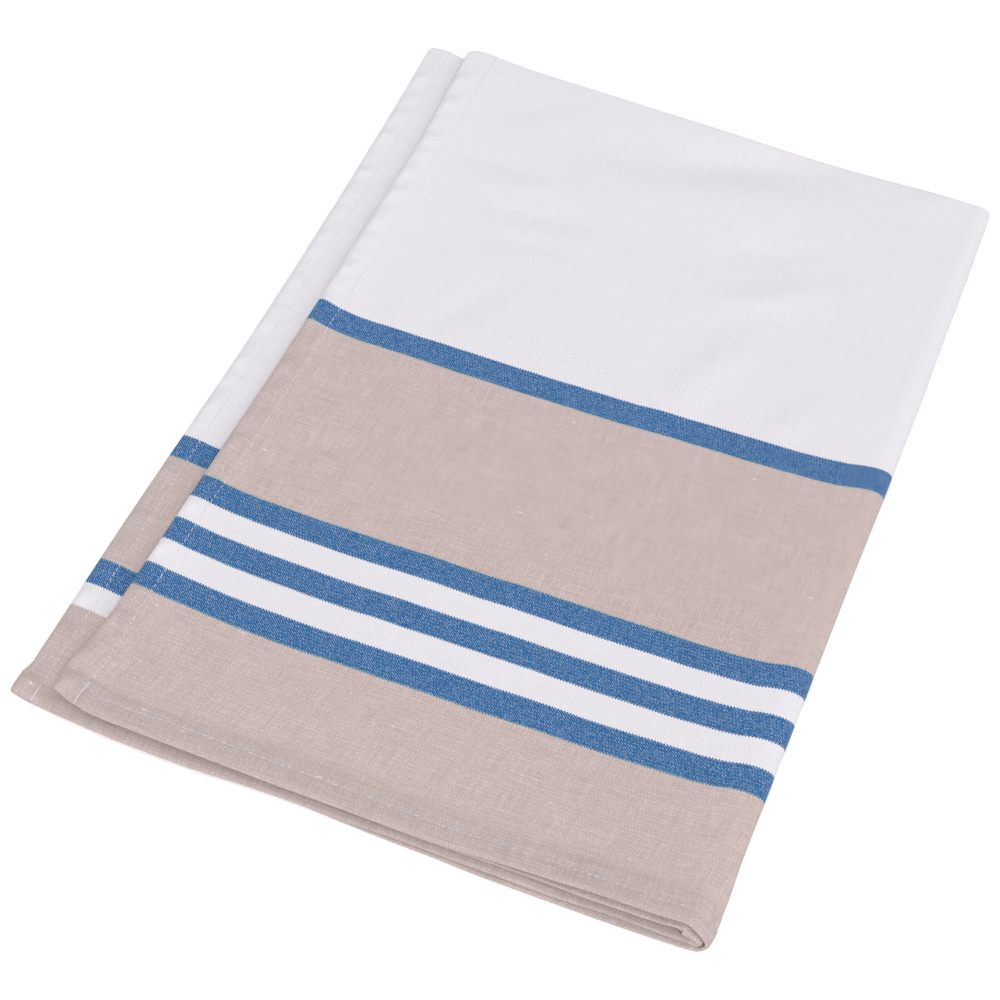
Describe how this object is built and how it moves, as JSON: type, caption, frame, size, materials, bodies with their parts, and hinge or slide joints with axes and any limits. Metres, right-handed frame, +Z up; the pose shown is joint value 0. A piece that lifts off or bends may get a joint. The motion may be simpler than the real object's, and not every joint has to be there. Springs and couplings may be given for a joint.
{
  "type": "folded tea towel",
  "caption": "Rectangular woven cotton tea towel with banded ends and sewn hems, folded lengthwise and across into a flat pad, for drying dishes and hands.",
  "frame": {"origin": "centre of the folded towel's underside, on the surface it lies on", "axes": "+Z up, +Y from the open hem edges to the far fold along the towel's longer side, +X to the right, where the second fold is"},
  "size_m": [0.2511, 0.3578, 0.011],
  "materials": {
    "cotton_twill": "matt yarn-dyed cotton twill, lilac white with warm grey and blue weft bands, ironed"
  },
  "bodies": {
    "root": {"towel": "cotton_twill"}
  },
  "joints": []
}
